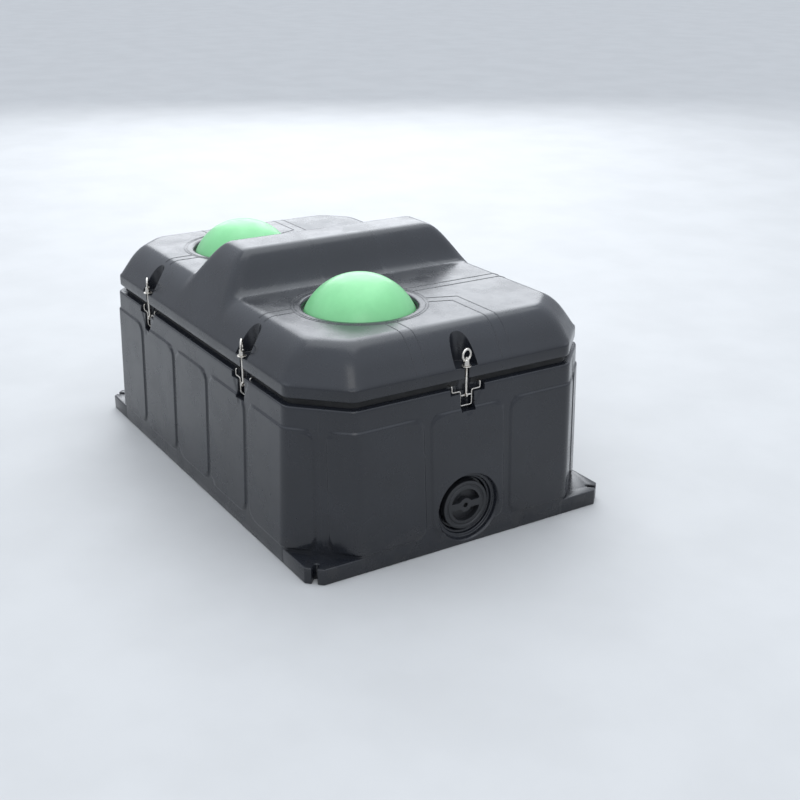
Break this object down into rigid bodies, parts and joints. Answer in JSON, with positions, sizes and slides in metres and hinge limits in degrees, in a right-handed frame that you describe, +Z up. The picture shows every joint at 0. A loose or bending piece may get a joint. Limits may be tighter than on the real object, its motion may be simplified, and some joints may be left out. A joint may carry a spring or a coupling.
{
  "type": "livestock water trough",
  "caption": "Insulated livestock drinker: low double-walled tub with lift-off domed lid, green balls floating in its drinking holes, swing-bolt latches, float valve and screw drain.",
  "frame": {"origin": "on the ground, at the middle of the foot's rectangle", "axes": "+X along the length towards the drain end, +Y across to the valve side, away from the side that the balls are nearer, +Z up"},
  "size_m": [1.238, 0.8, 0.59],
  "materials": {
    "moulded_black": "satin rotomoulded polyethylene, anthracite",
    "ball_green": "satin light green polyethylene",
    "stainless_steel": "bright stainless wire and fasteners",
    "brass": "plain machined brass",
    "seal_rubber": "black EPDM",
    "insulation_foam": "rigid polyurethane foam",
    "pipe_blue": "blue polyethylene water pipe",
    "float_red": "matt red float"
  },
  "bodies": {
    "base": {"base_tub": "moulded_black", "tub_insulation": "insulation_foam", "foam_port_plug": "moulded_black", "drain_socket": "moulded_black", "inlet_union": "brass", "inlet_nut_lower": "brass", "inlet_nut_upper": "brass", "riser_pipe": "pipe_blue", "valve_body": "brass", "arm_pin": "stainless_steel", "lid_gasket": "seal_rubber", "latch_bracket_end_front": "stainless_steel", "latch_pin_end_front": "stainless_steel", "latch_bracket_end_rear": "stainless_steel", "latch_pin_end_rear": "stainless_steel", "latch_bracket_left_front": "stainless_steel", "latch_pin_left_front": "stainless_steel", "latch_bracket_left_rear": "stainless_steel", "latch_pin_left_rear": "stainless_steel", "latch_bracket_right_front": "stainless_steel", "latch_pin_right_front": "stainless_steel", "latch_bracket_right_rear": "stainless_steel", "latch_pin_right_rear": "stainless_steel"},
    "lid": {"lid_shell": "moulded_black", "lid_insulation_front": "insulation_foam", "lid_insulation_rear": "insulation_foam", "ball_seal_front": "seal_rubber", "ball_seal_rear": "seal_rubber"},
    "ball_front": {"ball_front": "ball_green", "ball_plug_front": "ball_green"},
    "ball_rear": {"ball_rear": "ball_green", "ball_plug_rear": "ball_green"},
    "drain_seal": {"drain_seal": "seal_rubber"},
    "drain_plug": {"drain_plug": "moulded_black"},
    "float_arm": {"float_arm": "brass", "float": "float_red", "float_nut": "brass"},
    "valve_piston": {"valve_piston": "brass"},
    "latch_end_front": {"swing_bolt_end_front": "stainless_steel", "latch_washer_end_front": "stainless_steel"},
    "nut_end_front": {"ring_nut_end_front": "stainless_steel"},
    "latch_end_rear": {"swing_bolt_end_rear": "stainless_steel", "latch_washer_end_rear": "stainless_steel"},
    "nut_end_rear": {"ring_nut_end_rear": "stainless_steel"},
    "latch_left_front": {"swing_bolt_left_front": "stainless_steel", "latch_washer_left_front": "stainless_steel"},
    "nut_left_front": {"ring_nut_left_front": "stainless_steel"},
    "latch_left_rear": {"swing_bolt_left_rear": "stainless_steel", "latch_washer_left_rear": "stainless_steel"},
    "nut_left_rear": {"ring_nut_left_rear": "stainless_steel"},
    "latch_right_front": {"swing_bolt_right_front": "stainless_steel", "latch_washer_right_front": "stainless_steel"},
    "nut_right_front": {"ring_nut_right_front": "stainless_steel"},
    "latch_right_rear": {"swing_bolt_right_rear": "stainless_steel", "latch_washer_right_rear": "stainless_steel"},
    "nut_right_rear": {"ring_nut_right_rear": "stainless_steel"}
  },
  "joints": [
    {"name": "lid_lift", "type": "slide", "parent": "base", "child": "lid", "axis": [0, 0, 1], "range_m": [0, 0.025]},
    {"name": "latch_end_front_swing", "type": "hinge", "parent": "base", "child": "latch_end_front", "pos_m": [0.598, 0, 0.352], "axis": [0, 1, 0], "range_deg": [0, 140]},
    {"name": "nut_end_front_turn", "type": "hinge", "parent": "latch_end_front", "child": "nut_end_front", "pos_m": [0.598, 0, 0.43], "axis": [0, 0, 1], "continuous": true},
    {"name": "latch_end_rear_swing", "type": "hinge", "parent": "base", "child": "latch_end_rear", "pos_m": [-0.598, 0, 0.352], "axis": [0, -1, 0], "range_deg": [0, 140]},
    {"name": "nut_end_rear_turn", "type": "hinge", "parent": "latch_end_rear", "child": "nut_end_rear", "pos_m": [-0.598, 0, 0.43], "axis": [0, 0, 1], "continuous": true},
    {"name": "latch_left_front_swing", "type": "hinge", "parent": "base", "child": "latch_left_front", "pos_m": [0.285, -0.383, 0.352], "axis": [1, 0, 0], "range_deg": [0, 140]},
    {"name": "nut_left_front_turn", "type": "hinge", "parent": "latch_left_front", "child": "nut_left_front", "pos_m": [0.285, -0.383, 0.43], "axis": [0, 0, 1], "continuous": true},
    {"name": "latch_left_rear_swing", "type": "hinge", "parent": "base", "child": "latch_left_rear", "pos_m": [-0.285, -0.383, 0.352], "axis": [1, 0, 0], "range_deg": [0, 140]},
    {"name": "nut_left_rear_turn", "type": "hinge", "parent": "latch_left_rear", "child": "nut_left_rear", "pos_m": [-0.285, -0.383, 0.43], "axis": [0, 0, 1], "continuous": true},
    {"name": "latch_right_front_swing", "type": "hinge", "parent": "base", "child": "latch_right_front", "pos_m": [0.285, 0.383, 0.352], "axis": [-1, 0, 0], "range_deg": [0, 140]},
    {"name": "nut_right_front_turn", "type": "hinge", "parent": "latch_right_front", "child": "nut_right_front", "pos_m": [0.285, 0.383, 0.43], "axis": [0, 0, 1], "continuous": true},
    {"name": "latch_right_rear_swing", "type": "hinge", "parent": "base", "child": "latch_right_rear", "pos_m": [-0.285, 0.383, 0.352], "axis": [-1, 0, 0], "range_deg": [0, 140]},
    {"name": "nut_right_rear_turn", "type": "hinge", "parent": "latch_right_rear", "child": "nut_right_rear", "pos_m": [-0.285, 0.383, 0.43], "axis": [0, 0, 1], "continuous": true},
    {"name": "ball_front_press", "type": "slide", "parent": "base", "child": "ball_front", "axis": [0, 0, -1], "range_m": [0, 0.07], "stiffness_N_per_m": 600, "springref_m": -0.04},
    {"name": "ball_rear_press", "type": "slide", "parent": "base", "child": "ball_rear", "axis": [0, 0, -1], "range_m": [0, 0.07], "stiffness_N_per_m": 600, "springref_m": -0.04},
    {"name": "float_arm_swing", "type": "hinge", "parent": "base", "child": "float_arm", "pos_m": [0, 0.152, 0.402], "axis": [1, 0, 0], "range_deg": [0, 40], "stiffness_Nm_per_rad": 4, "springref_deg": -22.92},
    {"name": "valve_piston_slide", "type": "slide", "parent": "base", "child": "valve_piston", "axis": [0, -1, 0], "range_m": [0, 0.0075]},
    {"name": "drain_seal_slide", "type": "slide", "parent": "base", "child": "drain_seal", "axis": [1, 0, 0], "range_m": [0, 0.0125]},
    {"name": "drain_plug_turn", "type": "hinge", "parent": "drain_seal", "child": "drain_plug", "pos_m": [0.6, 0, 0.0895], "axis": [1, 0, 0], "range_deg": [0, 1080]}
  ],
  "couplings": [
    {"joint": "latch_end_front_swing", "follows": "lid_lift", "rad_per_m": 97.7},
    {"joint": "latch_end_rear_swing", "follows": "lid_lift", "rad_per_m": 97.7},
    {"joint": "latch_left_front_swing", "follows": "lid_lift", "rad_per_m": 97.7},
    {"joint": "latch_left_rear_swing", "follows": "lid_lift", "rad_per_m": 97.7},
    {"joint": "latch_right_front_swing", "follows": "lid_lift", "rad_per_m": 97.7},
    {"joint": "latch_right_rear_swing", "follows": "lid_lift", "rad_per_m": 97.7},
    {"joint": "valve_piston_slide", "follows": "float_arm_swing", "m_per_rad": 0.01},
    {"joint": "drain_seal_slide", "follows": "drain_plug_turn", "m_per_rad": 0.00063662}
  ]
}
